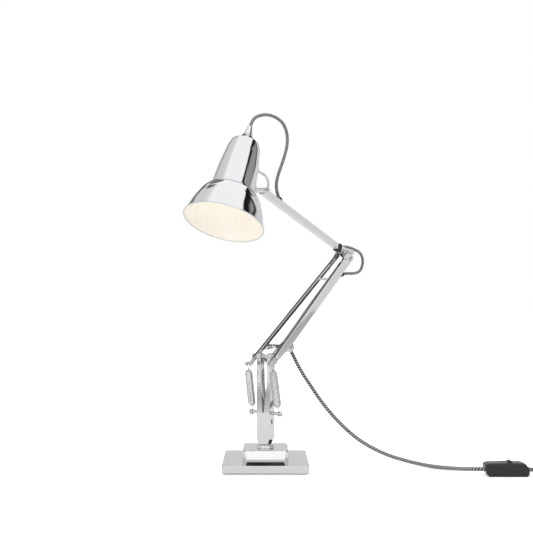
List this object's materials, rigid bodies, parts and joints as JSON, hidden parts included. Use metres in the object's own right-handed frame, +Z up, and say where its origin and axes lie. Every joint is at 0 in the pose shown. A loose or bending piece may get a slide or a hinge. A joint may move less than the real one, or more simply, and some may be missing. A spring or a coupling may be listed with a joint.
{
  "type": "architect lamp",
  "caption": "Architect desk lamp in polished chrome: square stepped base, sprung post, jointed arm with a parallel link, tilting flared shade, flecked cloth cord with in-line switch and plug.",
  "frame": {"origin": "centre of the base's underside", "axes": "+Z up; -Y is the base's side nearest the camera in the picture; the arm stands in a vertical plane turned from +X towards +Y"},
  "size_m": [0.7393, 0.4988, 0.6405],
  "materials": {
    "chrome": "polished",
    "cast_iron": "as cast",
    "felt": "felt",
    "steel": "turned",
    "spring_steel": "bright wire",
    "brass": "turned",
    "plated_brass": "plated",
    "black_rubber": "moulded",
    "black_plastic": "moulded",
    "black_gloss_plastic": "gloss",
    "white_plastic": "gloss",
    "flecked_cord": "woven, black and white flecks",
    "bulb_glass": "pearl"
  },
  "bodies": {
    "base": {"base_lower_cover": "chrome", "base_upper_cover": "chrome", "base_weight": "cast_iron", "felt_pad": "felt", "spindle": "steel", "base_collar": "chrome", "supply_cord_floor": "flecked_cord", "switch_base": "black_gloss_plastic", "switch_cover": "black_gloss_plastic", "cord_coil": "flecked_cord", "plug_body": "black_gloss_plastic", "plug_pins": "plated_brass"},
    "post": {"post_bracket": "chrome", "post_bush": "brass", "spring_anchor_rod": "chrome", "rear_anchor_pin": "chrome", "main_pivot_bolt": "chrome", "pivot_dome_nuts": "chrome", "pivot_spacers": "chrome", "left_spring": "spring_steel", "right_spring": "spring_steel", "centre_spring": "spring_steel", "supply_cord_middle": "flecked_cord"},
    "lever": {"lever_plates": "chrome", "lever_pin": "chrome"},
    "lower_arm": {"left_arm_bar": "chrome", "right_arm_bar": "chrome", "arch_plate": "chrome", "cross_brace": "chrome", "tail_pins": "chrome", "elbow_cheeks": "chrome", "elbow_bolt": "chrome"},
    "link": {"link_tube": "chrome", "link_grommet": "black_rubber", "link_fork_plates": "chrome", "fork_bolts": "chrome", "cable_block": "chrome", "link_inner_cable": "flecked_cord", "elbow_cable_loop": "flecked_cord", "supply_cord_top": "flecked_cord"},
    "upper_arm": {"upper_arm_tube": "chrome", "arm_tip_grommet": "black_rubber", "elbow_plates": "chrome", "arm_end_plug": "black_plastic", "link_top_bolt": "chrome", "arm_tip_knuckle": "chrome", "tip_cross_bolt": "chrome", "arm_inner_cable": "flecked_cord"},
    "head_bracket": {"left_strap": "chrome", "right_strap": "chrome", "head_cable_lower": "flecked_cord"},
    "shade": {"shade_cap": "chrome", "shade_reflector": "chrome", "lampholder": "white_plastic", "bulb": "bulb_glass", "cable_ferrule": "chrome", "shade_lug": "chrome", "lug_bolt": "chrome", "head_cable_upper": "flecked_cord"},
    "rocker": {"switch_rocker": "black_gloss_plastic"}
  },
  "joints": [
    {"name": "base_swivel", "type": "hinge", "parent": "base", "child": "post", "pos_m": [0, 0, 0], "axis": [0, 0, 1], "range_deg": [-60, 60], "deforming": ["supply_cord_floor", "supply_cord_middle"]},
    {"name": "arm_swing", "type": "hinge", "parent": "post", "child": "lever", "pos_m": [0.00052, 0.00085, 0.198], "axis": [0.8526, -0.5225, 0], "range_deg": [-20, 25], "deforming": ["left_spring", "right_spring", "centre_spring", "supply_cord_middle"]},
    {"name": "lower_arm_lift", "type": "hinge", "parent": "lever", "child": "lower_arm", "pos_m": [0.00052, 0.00085, 0.198], "axis": [0.8526, -0.5225, 0], "range_deg": [-20, 45], "deforming": ["left_spring", "right_spring"]},
    {"name": "link_follow", "type": "hinge", "parent": "lever", "child": "link", "pos_m": [0.0102, 0.01664, 0.18748], "axis": [0.8526, -0.5225, 0], "range_deg": [-20.5, 45.5], "deforming": ["supply_cord_top"]},
    {"name": "upper_arm_follow", "type": "hinge", "parent": "link", "child": "upper_arm", "pos_m": [0.17636, 0.2878, 0.3862], "axis": [0.8526, -0.5225, 0], "range_deg": [-45.5, 20.5], "deforming": ["elbow_cable_loop"]},
    {"name": "bracket_tilt", "type": "hinge", "parent": "upper_arm", "child": "head_bracket", "pos_m": [-0.00709, -0.01157, 0.49777], "axis": [0.8526, -0.5225, 0], "range_deg": [-30, 25], "deforming": ["head_cable_lower"]},
    {"name": "shade_tilt", "type": "hinge", "parent": "head_bracket", "child": "shade", "pos_m": [-0.0209, -0.03411, 0.531], "axis": [0.8526, -0.5225, 0], "range_deg": [-35, 25], "deforming": ["head_cable_upper"]},
    {"name": "switch_rocking", "type": "hinge", "parent": "base", "child": "rocker", "pos_m": [0.413, -0.084, 0.0215], "axis": [0, 1, 0], "range_deg": [0, 14]}
  ],
  "couplings": [
    {"joint": "link_follow", "follows": "lower_arm_lift", "ratio": 1},
    {"joint": "upper_arm_follow", "follows": "lower_arm_lift", "ratio": -1}
  ]
}
